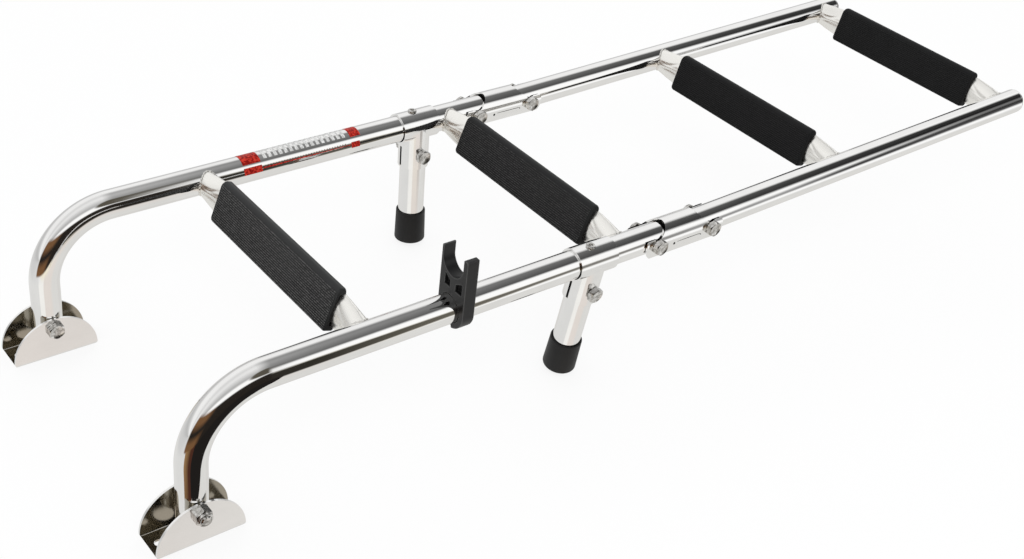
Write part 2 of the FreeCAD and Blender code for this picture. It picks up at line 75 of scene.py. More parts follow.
RAIL_WALL = 1.2 * MM
BEND_R = 62 * MM
BEND_STEPS = 48
TUBE_END = 10 * MM
TUBE_EASE = 0.3 * MM
LIFT = radians(1.5)
FREE_END_X = 981.5 * MM
PLUG_DOME = 7 * MM
PLUG_DEPTH = 10 * MM

# Steps: rung place along the rails, tilt, and the body that carries it
STEPS = {
    1: (148.8 * MM, 19.5, "upper_section"),
    2: (410.2 * MM, 19.5, "upper_section"),
    3: (694.8 * MM, 16.0, "lower_section"),
    4: (952.6 * MM, 16.0, "lower_section"),
}
# Half sizes of a rung's section, out of the tread's face and across it
RUNG_FLAT = mm(5.2, 15.75)
RUNG_END = mm(8.9, 11.4)
TREAD_HALF = 93.5 * MM
TREAD_HALF_WIDTH = 19.5 * MM
TREAD_WALL = 2.5 * MM
TREAD_DEPTH = 8.5 * MM
TREAD_NOSE = 4 * MM
TREAD_FRONT = -RUNG_FLAT[0] - TREAD_WALL

# Legs: place, lean, reach and the cap's half widths
LEG_X = 375.5 * MM
LEG_TILT = {"left": radians(8.2), "right": radians(-2.5)}
LEG_REACH = 126.2 * MM
LEG_TOP = 15 * MM
CAP_HEIGHT = 33 * MM
CAP_FLOOR = 5 * MM
CAP_WIDE = 15.2 * MM
CAP_NARROW = 14.5 * MM


# Node helpers

def fill(tree, target, inputs):
    """Link or set a node's inputs; a node stands for its first output, and a colour needs no alpha."""
    for key, value in inputs.items():
        socket = target.inputs[key]
        if isinstance(value, bpy.types.Node):
            value = value.outputs[0]
        if isinstance(value, bpy.types.NodeSocket):
            tree.links.new(value, socket)
        elif socket.type == "RGBA" and len(value) == 3:
            socket.default_value = (*value, 1.0)
        else:
            socket.default_value = value


def node(tree, kind, inputs=None, **settings):
    """Add one node, set its properties, and fill its inputs."""
    made = tree.nodes.new(kind)
    for key, value in settings.items():
        setattr(made, key, value)
    fill(tree, made, inputs or {})
    return made


def maths(tree, operation, first, second=0.0):
    return node(tree, "ShaderNodeMath", {0: first, 1: second}, operation=operation)


def product(tree, first, *others):
    for other in others:
        first = maths(tree, "MULTIPLY", first, other)
    return first


def total(tree, first, second):
    return maths(tree, "ADD", first, second)


def spread(tree, value, start, end, low_value=0.0, high_value=1.0, kind="LINEAR"):
    """Ramp of a value from start to end, held at both ends."""
    ends = {"Value": value, "From Min": start, "From Max": end, "To Min": low_value, "To Max": high_value}
    return node(tree, "ShaderNodeMapRange", ends, clamp=True, interpolation_type=kind).outputs["Result"]


def tint(tree, factor, first, second):
    """Colour between two colours."""
    return node(tree, "ShaderNodeMix", {0: factor, 6: first, 7: second}, data_type="RGBA").outputs[2]


def noise(tree, vector, scale, detail=3.0, roughness=0.55):
    inputs = {"Vector": vector, "Scale": scale, "Detail": detail, "Roughness": roughness}
    return node(tree, "ShaderNodeTexNoise", inputs).outputs["Fac"]


def attribute(tree, name, output):
    return node(tree, "ShaderNodeAttribute", attribute_name=name).outputs[output]


def stretched(tree, place, scale):
    """Coordinates squeezed so that a pattern runs long one way."""
    return node(tree, "ShaderNodeMapping", {"Vector": place, "Scale": scale}).outputs["Vector"]


def cleared(owner):
    """Empty node tree of a material or a world."""
    owner.use_nodes = True
    owner.node_tree.nodes.clear()
    return owner.node_tree


def new_material(name):
    """Bare material; gives it, its tree and its object coordinates."""
    material = bpy.data.materials.new(name)
    tree = cleared(material)
    return material, tree, node(tree, "ShaderNodeTexCoord").outputs["Object"]


def coat(material, colour, rough, relief, others):
    """Finish a material with its shader; relief is its bump's height, strength and distance."""
    tree = material.node_tree
    bump = node(tree, "ShaderNodeBump", dict(zip(("Height", "Strength", "Distance"), relief)))
    inputs = {"Base Color": colour, "Roughness": rough, "Normal": bump.outputs["Normal"], **others}
    shader = node(tree, "ShaderNodeBsdfPrincipled", inputs)
    node(tree, "ShaderNodeOutputMaterial", {"Surface": shader.outputs["BSDF"]})
    return material


# Materials

METAL = {"Metallic": 1.0}


def shine(amount):
    return {"Specular IOR Level": amount}


def polished_steel(name, grain, colour, smooth, hazy, follows_tube=False):
    """Mirror-polished steel: faint drawn lines along the metal and a little haze."""
    material, tree, place = new_material(name)
    drawn = stretched(tree, attribute(tree, "tube", "Vector") if follows_tube else place, grain)
    lines = noise(tree, drawn, 90.0, 5.0, 0.7)
    fine = noise(tree, drawn, 520.0, 2.0)
    haze = noise(tree, place, 28.0, 5.0, 0.6)
    mixed = total(tree, product(tree, haze, 0.5), product(tree, lines, 0.5))
    darker = tuple(0.92 * part for part in colour)
    tone = tint(tree, spread(tree, mixed, 0.35, 0.65), darker, colour)
    rough = spread(tree, mixed, 0.35, 0.65, smooth, hazy)
    return coat(material, tone, rough, (total(tree, lines, product(tree, fine, 0.3)), 0.05, 0.0005), METAL)


def weld_metal():
    """Pale, uneven weld, rougher than the tubes."""
    material, tree, place = new_material("weld_metal")
    patches = noise(tree, place, 260.0, 4.0)
    tone = tint(tree, patches, (0.66, 0.64, 0.60), (0.93, 0.92, 0.89))
    rough = spread(tree, patches, 0.3, 0.7, 0.2, 0.45)
    return coat(material, tone, rough, (noise(tree, place, 900.0), 0.3, 0.0004), METAL)


def fastener_metal():
    """Plain bolt steel, duller and blotchier than the tubes."""
    material, tree, place = new_material("bolt_steel")
    blotches = noise(tree, place, 330.0, 4.0, 0.65)
    tone = tint(tree, spread(tree, blotches, 0.38, 0.62), (0.34, 0.33, 0.31), (0.72, 0.71, 0.69))
    rough = spread(tree, blotches, 0.35, 0.65, 0.26, 0.10)
    return coat(material, tone, rough, (noise(tree, place, 420.0, 3.0), 0.2, 0.0004), METAL)


def moulded_plastic(name, dark, light, rough, grain_scale, grain_strength, gloss=0.25, rim_highlight_tone=None):
    """Moulded plastic: fine grain, mottling, pale scuffs, and a painted highlight on its rims if they have a
    tone.
    """
    material, tree, place = new_material(name)
    mottle = noise(tree, place, 35.0, 5.0, 0.65)
    scuffs = noise(tree, stretched(tree, place, (0.5, 1.0, 3.0)), 180.0, 6.0, 0.7)
    worn = tuple(min(1.0, 2.6 * part) for part in light)
    scuffed = product(tree, spread(tree, scuffs, 0.66, 0.78), 0.3)
    tone = tint(tree, scuffed, tint(tree, mottle, dark, light), worn)
    if rim_highlight_tone:
        # Painted highlight on the sharp rims, found by pointiness.
        rim_highlight = spread(tree, node(tree, "ShaderNodeNewGeometry").outputs["Pointiness"], 0.506, 0.545)
        tone = tint(tree, product(tree, rim_highlight, 0.7), tone, rim_highlight_tone)
    rough = spread(tree, mottle, 0.3, 0.7, rough - 0.06, rough + 0.08)
    relief = (noise(tree, place, grain_scale), grain_strength, 0.0006)
    return coat(material, tone, rough, relief, shine(gloss))


def ribbed_plastic():
    """Black step plastic: pale flecks on the first steps' rib crests, partly dust and partly painted sheen;
    the nose is smooth and carries a painted grey highlight.
    """
    material, tree, place = new_material("tread_plastic")
    x = node(tree, "ShaderNodeSeparateXYZ", {0: place}).outputs["X"]
    # Pale flecks on the rib crests of the first steps: partly dust, partly painted sheen.
    flecks = spread(tree, noise(tree, place, 800.0, 2.0, 0.6), 0.42, 0.60, 0.2, 1.0)
    first_steps = spread(tree, x, 0.10, 0.60, 1.0, 0.08)
    crest_dust_and_sheen = product(tree, flecks, attribute(tree, "crest", "Fac"), first_steps)
    base = tint(tree, noise(tree, place, 40.0, 4.0), (0.0060, 0.0060, 0.0064), (0.0110, 0.0110, 0.0114))
    dust_and_sheen_tone = tint(tree, crest_dust_and_sheen, base, (0.120, 0.118, 0.116))
    # Painted grey highlight along the nose, strongest on the first steps.
    lit = product(tree, attribute(tree, "nose", "Fac"), spread(tree, x, 0.10, 0.60, 1.0, 0.12))
    tone = tint(tree, product(tree, lit, 0.8), dust_and_sheen_tone, (0.022, 0.023, 0.023))
    rough = spread(tree, lit, 0.0, 1.0, 0.58, 0.40)
    gloss = spread(tree, lit, 0.0, 1.0, 0.12, 0.26)
    return coat(material, tone, rough, (noise(tree, place, 1500.0), 0.12, 0.0006), shine(gloss))


def shadow_black():
    """Painted shade for the narrow gaps where no light gets in: near black with a faint mottle."""
    material, tree, place = new_material("gap_painted_shade")
    patches = noise(tree, place, 240.0, 4.0)
    tone = tint(tree, patches, (0.004, 0.004, 0.004), (0.014, 0.013, 0.012))
    rough = spread(tree, patches, 0.3, 0.7, 0.7, 0.9)
    return coat(material, tone, rough, (patches, 0.1, 0.0003), shine(0.05))


def printed_vinyl(name, dark, light):
    """Printed vinyl with a faint mottle in the print."""
    material, tree, place = new_material(name)
    mottle = noise(tree, place, 520.0, 4.0)
    tone = tint(tree, spread(tree, mottle, 0.42, 0.62), dark, light)
    rough = spread(tree, mottle, 0.3, 0.7, 0.22, 0.38)
    return coat(material, tone, rough, (mottle, 0.05, 0.0002), shine(0.12))


STEEL_TONE = (0.90, 0.895, 0.885)
SHEET_GRAIN = (0.12, 1.0, 0.5)
RAIL_STEEL = polished_steel("rail_polish", (1.0, 1.0, 0.05), STEEL_TONE, 0.03, 0.075, True)
LEG_STEEL = polished_steel("leg_polish", (1.0, 1.0, 0.06), STEEL_TONE, 0.06, 0.13, True)
CLAMP_STEEL = polished_steel("clamp_polish", (0.3, 1.0, 1.0), STEEL_TONE, 0.05, 0.11)
RUNG_STEEL = polished_steel("rung_polish", (1.0, 0.08, 1.0), (0.95, 0.935, 0.895), 0.22, 0.34)
SHEET_STEEL = polished_steel("sheet_polish", SHEET_GRAIN, (0.89, 0.885, 0.875), 0.10, 0.18)
SLEEVE_STEEL = polished_steel("sleeve_polish", (0.1, 1.0, 1.0), STEEL_TONE, 0.045, 0.10)
BOLT_STEEL = fastener_metal()
# Painted shade for the bracket's inner cheeks and floor.
SHADED_STEEL = polished_steel("bracket_painted_shade", SHEET_GRAIN, (0.38, 0.35, 0.29), 0.10, 0.20)
WELD = weld_metal()
# Painted shade for gaps, holes and creases where no light gets in.
GAP = shadow_black()
TREAD_PLASTIC = ribbed_plastic()
CAP_PLASTIC = moulded_plastic(
    "cap_plastic", (0.009, 0.009, 0.009), (0.016, 0.0155, 0.0155), 0.46, 900.0, 0.12, 0.22)
# The clip's last tone is the painted highlight on its rims.
CLIP_PLASTIC = moulded_plastic(
    "clip_plastic", (0.006, 0.006, 0.0063), (0.011, 0.011, 0.0113), 0.36, 1100.0, 0.08, 0.30,
    (0.11, 0.11, 0.108))
NUT_INSERT = moulded_plastic("nut_insert", (0.16, 0.15, 0.14), (0.30, 0.29, 0.27), 0.45, 900.0, 0.05)
RED_PRINT = printed_vinyl("red_print", (0.22, 0.004, 0.003), (0.62, 0.040, 0.022))
PALE_PRINT = printed_vinyl("pale_print", (0.50, 0.50, 0.49), (0.80, 0.80, 0.79))
DARK_PRINT = printed_vinyl("dark_print", (0.16, 0.05, 0.045), (0.30, 0.10, 0.09))


# Mesh helpers

def placed(name, data):
    """New object in the scene."""
    made = bpy.data.objects.new(name, data)
    bpy.context.scene.collection.objects.link(made)
    return made


def add_piece(name, mesh, material, body, sharp=30.0, place=None):
    """Piece set in its place, riding on a body, smooth but for its sharp edges."""
    if place is not None:
        mesh.transform(place)
    mesh.name = name
    mesh.materials.clear()
    mesh.materials.append(material)
    if sharp is not None:
        mesh.shade_smooth()
        mesh.set_sharp_from_angle(angle=radians(sharp))
    piece = placed(name, mesh)
    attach(piece, body)
    return piece


def dress(node_name, ending, mesh, material, body, sharp=30.0, place=None):
    """Piece that stands for one CAD node and is named after it."""
    piece = add_piece(node_name + "_" + ending, mesh, material, body, sharp, place)
    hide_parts(node_name)
    return piece


def mesh_from(bm):
    bmesh.ops.recalc_face_normals(bm, faces=bm.faces)
    mesh = bpy.data.meshes.new("part")
    bm.to_mesh(mesh)
    bm.free()
    return mesh


def skin(bm, rings, capped=False):
    """Quads between rings of equal length, and a face on each end ring if capped."""
    for first, second in zip(rings, rings[1:]):
        count = len(first)
        for k in range(count):
            bm.faces.new((first[k], first[(k + 1) % count], second[(k + 1) % count], second[k]))
    if capped:
        bm.faces.new(rings[0])
        bm.faces.new(rings[-1])


def cone(bm, point, loop):
    """Triangles from one point to a ring."""
    for k in range(len(loop)):
        bm.faces.new((point, loop[k], loop[(k + 1) % len(loop)]))


def ring(bm, centre, across, up, radius, sides, mark):
    """Circle of vertices about a centre; mark says how far along the tube it lies."""
    made = []
    layer = bm.verts.layers.float_vector["tube"]
    for k in range(sides):
        turn = 2 * pi * k / sides
        made.append(bm.verts.new(centre + radius * (cos(turn) * across + sin(turn) * up)))
        made[-1][layer] = (radius * cos(turn), radius * sin(turn), mark)
    return made


def pipe(stations):
    """Hollow tube of the rails' section through (centre, across, up) stations, its ends eased."""
    outer, inner, edge, sides = RAIL_R, RAIL_R - RAIL_WALL, TUBE_EASE, 96
    bm = bmesh.new()
    bm.verts.layers.float_vector.new("tube")
    marks = [0.0]
    for first, second in zip(stations, stations[1:]):
        marks.append(marks[-1] + (second[0] - first[0]).length)
    outside = [ring(bm, *station, outer, sides, mark) for station, mark in zip(stations, marks)]
    inside = [ring(bm, *station, inner, sides, mark) for station, mark in zip(stations, marks)]
    skin(bm, outside)
    skin(bm, inside)
    for end, neighbour in ((0, 1), (-1, -2)):
        centre, across, up = stations[end]
        outward = across.cross(up)
        if outward.dot(centre - stations[neighbour][0]) <= 0:
            outward = -outward
        lip = ring(bm, centre + edge * outward, across, up, outer - edge, sides, marks[end])
        lip_in = ring(bm, centre + edge * outward, across, up, inner + edge, sides, marks[end])
        skin(bm, (outside[end], lip, lip_in, inside[end]))
    return mesh_from(bm)


def turned(profile, origin=ORIGIN, axis=Z_AXIS, across=X_AXIS, sides=96, weld=False):
    """Solid of revolution from (radius, height) pairs; a zero radius or a weld closes it."""
    up = axis.cross(across)
    bm = bmesh.new()
    bm.verts.layers.float_vector.new("tube")
    rings = []
    for radius, height in profile:
        centre = origin + height * axis
        if radius < 1e-7:
            rings.append([bm.verts.new(centre)])
        else:
            rings.append(ring(bm, centre, across, up, radius, sides, height))
    for first, second in zip(rings, rings[1:]):
        if len(first) == 1:
            cone(bm, first[0], second)
        elif len(second) == 1:
            cone(bm, second[0], first)
        else:
            skin(bm, (first, second))
    if weld:
        bmesh.ops.remove_doubles(bm, verts=bm.verts, dist=1e-7)
    return mesh_from(bm)


def arc_points(centre_first, centre_second, radius, start, end, steps):
    """Points of an arc in a profile, angles in degrees from its first direction."""
    points = []
    for k in range(steps + 1):
        turn = radians(start + (end - start) * k / steps)
        points.append((centre_first + radius * cos(turn), centre_second + radius * sin(turn)))
    return points


def rail_patch(side, corners_at, steps):
    """Thin skin round a rail, its four (x, radius, degrees) corners given for each share of its sweep."""
    bm = bmesh.new()
    axis = Vector((0, RAIL_Y[side], RAIL_Z))
    loops = []
    for k in range(steps + 1):
        loops.append([])
        for x, radius, degrees in corners_at(k / steps):
            turn = radians(degrees)
            way = Vector((0, -cos(turn), sin(turn)))
            loops[-1].append(bm.verts.new(axis + x * X_AXIS + radius * way))
    skin(bm, loops, True)
    return mesh_from(bm)


def modify(holder, kind, **settings):
    """Add a modifier with its settings to an object."""
    modifier = holder.modifiers.new(kind.lower(), kind)
    for key, value in settings.items():
        setattr(modifier, key, value)
    return modifier


def evaluated_mesh(holder):
    """Plain mesh of an object with its modifiers, the object itself removed."""
    bpy.context.view_layer.update()
    graph = bpy.context.evaluated_depsgraph_get()
    mesh = bpy.data.meshes.new_from_object(holder.evaluated_get(graph))
    bpy.data.objects.remove(holder)
    return mesh


# Geometry Nodes helpers

def new_tree(name, inputs):
    """Empty geometry tree with named inputs; gives the tree, its inputs and its output node."""
    tree = bpy.data.node_groups.new(name, "GeometryNodeTree")
    for label, kind in {"Geometry": "Geometry", **inputs}.items():
        tree.interface.new_socket(label, in_out="INPUT", socket_type="NodeSocket" + kind)
    tree.interface.new_socket("Geometry", in_out="OUTPUT", socket_type="NodeSocketGeometry")
    return tree, tree.nodes.new("NodeGroupInput").outputs, tree.nodes.new("NodeGroupOutput")


def close_tree(tree, geometry, given, end):
    """Realize what a tree made and give it the material among its inputs."""
    real = node(tree, "GeometryNodeRealizeInstances", {"Geometry": geometry})
    inputs = {"Geometry": real, "Material": given["Material"]}
    fill(tree, end, {0: node(tree, "GeometryNodeSetMaterial", inputs)})
    return tree


def row(tree, given, axis, part, start=ORIGIN, rotation=ORIGIN):
    """Copies of a part set side by side along an axis."""
    stride = node(tree, "ShaderNodeCombineXYZ", {axis: given["Pitch"]})
    inputs = {"Count": given["Count"], "Start Location": start, "Offset": stride}
    line = node(tree, "GeometryNodeMeshLine", inputs)
    inputs = {"Points": line, "Instance": part, "Rotation": rotation}
    return node(tree, "GeometryNodeInstanceOnPoints", inputs)


def grow(mesh, tree, values):
    """Run a geometry tree on a mesh with the given input values; gives a plain mesh."""
    holder = placed("holder", mesh)
    modifier = modify(holder, "NODES", node_group=tree)
    for item in tree.interface.items_tree:
        if item.item_type == "SOCKET" and item.in_out == "INPUT" and item.name in values:
            modifier[item.identifier] = values[item.name]
    return evaluated_mesh(holder)


# Places

def posed(place, angle, axis):
    """Matrix that turns about one of its own axes and then moves to a place."""
    return Matrix.Translation(place) @ Matrix.Rotation(angle, 4, axis)


def lift():
    """Matrix of the lower section's small lift about its fold bolts."""
    return posed((FOLD_X, 0, RAIL_Z), -LIFT, "Y") @ Matrix.Translation((-FOLD_X, 0, -RAIL_Z))


def step_place(number):
    """Matrix from a step's own axes to its place between the rails."""
    x, tilt, body = STEPS[number]
    place = posed((x, MID_Y, RAIL_Z), radians(tilt), "Y")
    return lift() @ place if body == "lower_section" else place


def leg_place(side):
    """Matrix of a leg's lean about its rail's axis."""
    return posed((LEG_X, RAIL_Y[side], RAIL_Z), LEG_TILT[side], "X")


# Rails

def upper_rail(side):
    """Post, bend and straight run as one swept tube."""
    y = RAIL_Y[side]
    centre = Vector((BEND_R, y, RAIL_Z - BEND_R))
    stations = [(Vector((0, y, POST_FOOT_Z + TUBE_EASE)), Y_AXIS, X_AXIS)]
    for k in range(BEND_STEPS + 1):
        turn = pi / 2 * k / BEND_STEPS
        outward = Vector((-cos(turn), 0, sin(turn)))
        stations.append((centre + BEND_R * outward, Y_AXIS, -outward))
    stations.append((Vector((PIVOT_X + TUBE_END - TUBE_EASE, y, RAIL_Z)), Y_AXIS, -Z_AXIS))
    dress("upper_rail_" + side, "tube", pipe(stations), RAIL_STEEL, "upper_section")


def lower_rail(side):
    """Straight tube with its rounded plug, one polished surface with a fine joint line."""
    y = RAIL_Y[side]
    end_x = FREE_END_X - PLUG_DOME
    ends = (FOLD_X - TUBE_END + TUBE_EASE, end_x - TUBE_EASE)
    stations = [(Vector((x, y, RAIL_Z)), Y_AXIS, Z_AXIS) for x in ends]
    dress("lower_rail_" + side, "tube", pipe(stations), RAIL_STEEL, "lower_section", place=lift())
    inner = RAIL_R - RAIL_WALL - 0.05 * MM
    dome_r, dome_foot, dome_steps = RAIL_R - 0.1 * MM, 0.3 * MM, 16
    profile = [(0.0, -PLUG_DEPTH), (inner, -PLUG_DEPTH), (inner, 0.0), (RAIL_R - 0.4 * MM, 0.02 * MM)]
    for k in range(dome_steps):
        turn = pi / 2 * k / dome_steps
        profile.append((dome_r * cos(turn), dome_foot + (PLUG_DOME - dome_foot) * sin(turn)))
    profile.append((0.0, PLUG_DOME))
    mesh = turned(profile, Vector((end_x, y, RAIL_Z)), X_AXIS, Y_AXIS)
    dress("rail_plug_" + side, "dome", mesh, RAIL_STEEL, "lower_section", place=lift())


# Rungs with their pressed ends and weld beads

RUNG_SIDES = 96
STUB_STEPS = 22
# Each crease: its place across the rung at the tread and at the rail, how far it bows,
# its half width and its depth
CREASES = (
    mm(9.0, 1.0, -3.0, 1.3, 0.55),
    mm(2.5, -1.5, 0.0, 0.9, 0.28),
    mm(-3.5, -5.0, 1.0, 1.2, 0.5),
    mm(-11.5, -8.0, 0.5, 1.1, 0.4),
)


def rung_section(share):
    """Ring of (out, across) offsets a share of the way from the tread to the rail."""
    thick = RUNG_FLAT[0] + (RUNG_END[0] - RUNG_FLAT[0]) * share
    wide = RUNG_FLAT[1] + (RUNG_END[1] - RUNG_FLAT[1]) * share
    fade = sin(pi * share) ** 0.7 if 0 < share < 1 else 0.0
    points = []
    for k in range(RUNG_SIDES):
        turn = 2 * pi * k / RUNG_SIDES
        out = thick * cos(turn)
        across = wide * sin(turn)
        for start, end, bow, half, depth in CREASES:
            line = start + (end - start) * share + bow * sin(pi * share)
            pressed = depth * fade * exp(-((across - line) / half) ** 2)
            out -= copysign(min(pressed, 0.5 * abs(out)), out)
        points.append((out, across))
    return points


def rung(number):
    """Pressed tube between the rails; its end rings follow the rails' surface."""
    lean = radians(STEPS[number][1])
    place = step_place(number)
    half = MID_Y - RAIL_Y["left"]
    stub_start = TREAD_HALF - 1 * MM
    bm = bmesh.new()
    rings = []
    ends = {}
    shares = [k / STUB_STEPS for k in range(STUB_STEPS + 1)]
    for sign, order in ((-1, shares[::-1]), (1, shares)):
        for share in order:
            loop = []
            for out, across in rung_section(share):
                height = -out * sin(lean) + across * cos(lean)
                reach = half - sqrt(max(0.0, RAIL_R ** 2 - height ** 2))
                y = sign * (stub_start + share * (reach - stub_start))
                loop.append(bm.verts.new((out, y, across)))
            rings.append(loop)
            if share == 1.0:
                ends[sign] = [place @ vert.co.copy() for vert in loop]
    skin(bm, rings)
    for sign, loop in ((-1, rings[0]), (1, rings[-1])):
        cone(bm, bm.verts.new((0, sign * (half - RAIL_R + 1 * MM), 0)), loop)
    dress(f"rung_{number}", "pressed", mesh_from(bm), RUNG_STEEL, STEPS[number][2], 60.0, place)
    return ends


def bead_tree():
    """Weld bead along a loop of edges, its size rippling as the torch was dabbed."""
    tree, given, end = new_tree("weld_bead", {
        "Bead Radius": "Float", "Ripple": "Float", "Ripples": "Int", "Points": "Int", "Material": "Material"})
    curve = node(tree, "GeometryNodeMeshToCurve", {"Mesh": given["Geometry"]})
    even = node(tree, "GeometryNodeResampleCurve", {"Curve": curve, "Count": given["Points"]})
    share = node(tree, "GeometryNodeSplineParameter").outputs["Factor"]
    wave = maths(tree, "SINE", product(tree, share, given["Ripples"], 2 * pi))
    uneven = node(tree, "ShaderNodeTexNoise", {"Scale": 300.0}).outputs["Fac"]
    dab = total(tree, product(tree, wave, given["Ripple"]), uneven)
    size = product(tree, total(tree, dab, 0.5), given["Bead Radius"])
    sized = node(tree, "GeometryNodeSetCurveRadius", {"Curve": even, "Radius": size})
    circle = node(tree, "GeometryNodeCurvePrimitiveCircle", {"Resolution": 10, "Radius": 1.0})
    swept = node(tree, "GeometryNodeCurveToMesh", {"Curve": sized, "Profile Curve": circle})
    if "Scale" in swept.inputs:
        fill(tree, swept, {"Scale": size})
    return close_tree(tree, swept, given, end)


BEAD_TREE = bead_tree()
BEAD_VALUES = {"Bead Radius": 0.95 * MM, "Ripple": 0.18, "Ripples": 22, "Points": 220, "Material": WELD}


def weld_beads(number, ends):
    """Beads where one rung meets the two rails."""
    for side, sign in (("left", -1), ("right", 1)):
        count = len(ends[sign])
        edges = [(k, (k + 1) % count) for k in range(count)]
        loop = bpy.data.meshes.new("loop")
        loop.from_pydata([tuple(point) for point in ends[sign]], edges, [])
        name = f"weld_{number}_{side}"
        add_piece(name, grow(loop, BEAD_TREE, BEAD_VALUES), WELD, STEPS[number][2], 60.0)


# Treads

RIB_PITCH = 1.95 * MM
RIB_RADIUS = 0.6 * MM
RIB_MARGIN = 1.4 * MM
RIB_SIDES = 8
END_ROUND = 3.0 * MM
END_STEPS = 6
CORNER_EASE = 0.8 * MM
RUNG_PLAY = 0.2 * MM


def rib_tree():
    """Fine ribs set side by side across a tread's face and joined to its body."""
    tree, given, end = new_tree("tread_ribs", {
        "Count": "Int", "Pitch": "Float", "Rib Radius": "Float", "Length": "Float",
        "Face": "Float", "Lowest": "Float", "Material": "Material"})
    first = node(tree, "ShaderNodeCombineXYZ", {"X": given["Face"], "Z": given["Lowest"]})
    inputs = {"Vertices": RIB_SIDES, "Radius": given["Rib Radius"], "Depth": given["Length"]}
    rib = node(tree, "GeometryNodeMeshCylinder", inputs)
    ribs = row(tree, given, "Z", rib, first, (pi / 2, 0.0, 0.0))
    both = node(tree, "GeometryNodeJoinGeometry")
    for part in (given["Geometry"], ribs):
        fill(tree, both, {0: part})
    return close_tree(tree, both, given, end)


RIB_TREE = rib_tree()


def tread_section():
    """Closed section of the step cover: face, nose, return lip and lower lip."""
    top, bottom = TREAD_HALF_WIDTH, -TREAD_HALF_WIDTH
    face = TREAD_FRONT + RIB_RADIUS
    back = TREAD_FRONT + TREAD_DEPTH
    wall, nose, ease = TREAD_WALL, TREAD_NOSE, CORNER_EASE
    sill = -RUNG_FLAT[1] - RUNG_PLAY
    arcs = (
        (face + ease, bottom + ease, ease, 270, 180, 3),
        (face + nose, top - nose, nose, 180, 90, 8),
        (back - wall / 2, top - wall / 2, wall / 2, 90, -90, 6),
        (face + nose, top - nose, nose - wall, 90, 180, 5),
        (face + wall + ease, sill + ease, ease, 180, 270, 3),
        (back - ease, sill - ease, ease, 90, 0, 2),
        (back - ease, bottom + ease, ease, 0, -90, 2),
    )
    return [point for arc in arcs for point in arc_points(*arc)]


def tread(number):
    """Ribbed step cover, its ends rounded in the plane of the face."""
    section = tread_section()
    half = TREAD_HALF_WIDTH
    nose_start = half - TREAD_NOSE - 0.6 * MM
    stations = []
    for k in reversed(range(END_STEPS + 1)):
        turn = pi / 2 * k / END_STEPS
        stations.append((-TREAD_HALF + END_ROUND * (1 - sin(turn)), END_ROUND * (1 - cos(turn))))
    stations += [(-y, inset) for y, inset in reversed(stations)]
    bm = bmesh.new()
    nose = bm.verts.layers.float.new("nose")
    loops = []
    for y, inset in stations:
        squeeze = (half - inset) / half
        loops.append([bm.verts.new((out, y, across * squeeze)) for out, across in section])
        for vert, (out, across) in zip(loops[-1], section):
            vert[nose] = 1.0 if across > nose_start else 0.0
    skin(bm, loops, True)
    ribbed_width = 2 * half - 0.6 * TREAD_NOSE - 2 * RIB_MARGIN
    mesh = grow(mesh_from(bm), RIB_TREE, {
        "Count": int(ribbed_width / RIB_PITCH) + 1,
        "Pitch": RIB_PITCH,
        "Rib Radius": RIB_RADIUS,
        "Length": 2 * (TREAD_HALF - END_ROUND * 0.7),
        "Face": TREAD_FRONT + RIB_RADIUS,
        "Lowest": -half + RIB_MARGIN,
        "Material": TREAD_PLASTIC,
    })
    crest = mesh.attributes.new("crest", "FLOAT", "POINT")
    for point, vertex in enumerate(mesh.vertices):
        crest.data[point].value = 1.0 if vertex.co.x < TREAD_FRONT + 0.5 * RIB_RADIUS else 0.0
    body = STEPS[number][2]
    dress(f"tread_{number}", "ribbed", mesh, TREAD_PLASTIC, body, 40.0, step_place(number))


# Legs

def leg(side):
    """Leg tube and its end cap, both leaning with the leg."""
    ends = (-LEG_TOP - TUBE_EASE, -LEG_REACH + CAP_FLOOR + TUBE_EASE)
    stations = [(Vector((0, 0, z)), X_AXIS, Y_AXIS) for z in ends]
    place = leg_place(side)
    dress("leg_tube_" + side, "tube", pipe(stations), LEG_STEEL, "upper_section", place=place)
    low, floor, high = -LEG_REACH, -LEG_REACH + CAP_FLOOR, -LEG_REACH + CAP_HEIGHT
    dish, foot_ease, rim_ease, seat = 0.6 * MM, 2 * MM, 0.7 * MM, RAIL_R + 0.02 * MM
    profile = [(0.0, low + dish), (9 * MM, low + dish), (9.6 * MM, low)]
    profile += arc_points(CAP_WIDE - foot_ease, low + foot_ease, foot_ease, -90, 0, 6)
    profile += arc_points(CAP_NARROW - rim_ease, high - rim_ease, rim_ease, 0, 90, 5)
    profile += [(RAIL_R + 0.35 * MM, high), (seat, high - 0.5 * MM), (seat, floor), (0.0, floor)]
    dress("leg_cap_" + side, "moulded", turned(profile), CAP_PLASTIC, "upper_section", 50.0, place)


# Printed strip on the right rail: plain red blocks, pale strokes between them and a thin line

PRINT_RISE = 0.12 * MM
MARK_RISE = 0.1 * MM
# Block name, its start and end along the rail, and the angles it covers
PRINT_BLOCKS = (
    ("strip_block_1_top", 184 * MM, 202 * MM, 46, 118),
    ("strip_block_1_front", 184 * MM, 202 * MM, 4, 33),
    ("strip_block_2_top", 296.5 * MM, 307.5 * MM, 50, 118),
    ("strip_block_2_front", 296 * MM, 305 * MM, 3, 28),
)
# Row name, start, width of a mark, the angles it covers, count, pitch and ink
PRINT_ROWS = (
    ("strip_strokes", 206 * MM, 3.2 * MM, 55, 125, 16, 5.5 * MM, PALE_PRINT),
    ("strip_ticks", 205 * MM, 0.9 * MM, 24, 28, 31, 2.8 * MM, DARK_PRINT),
)


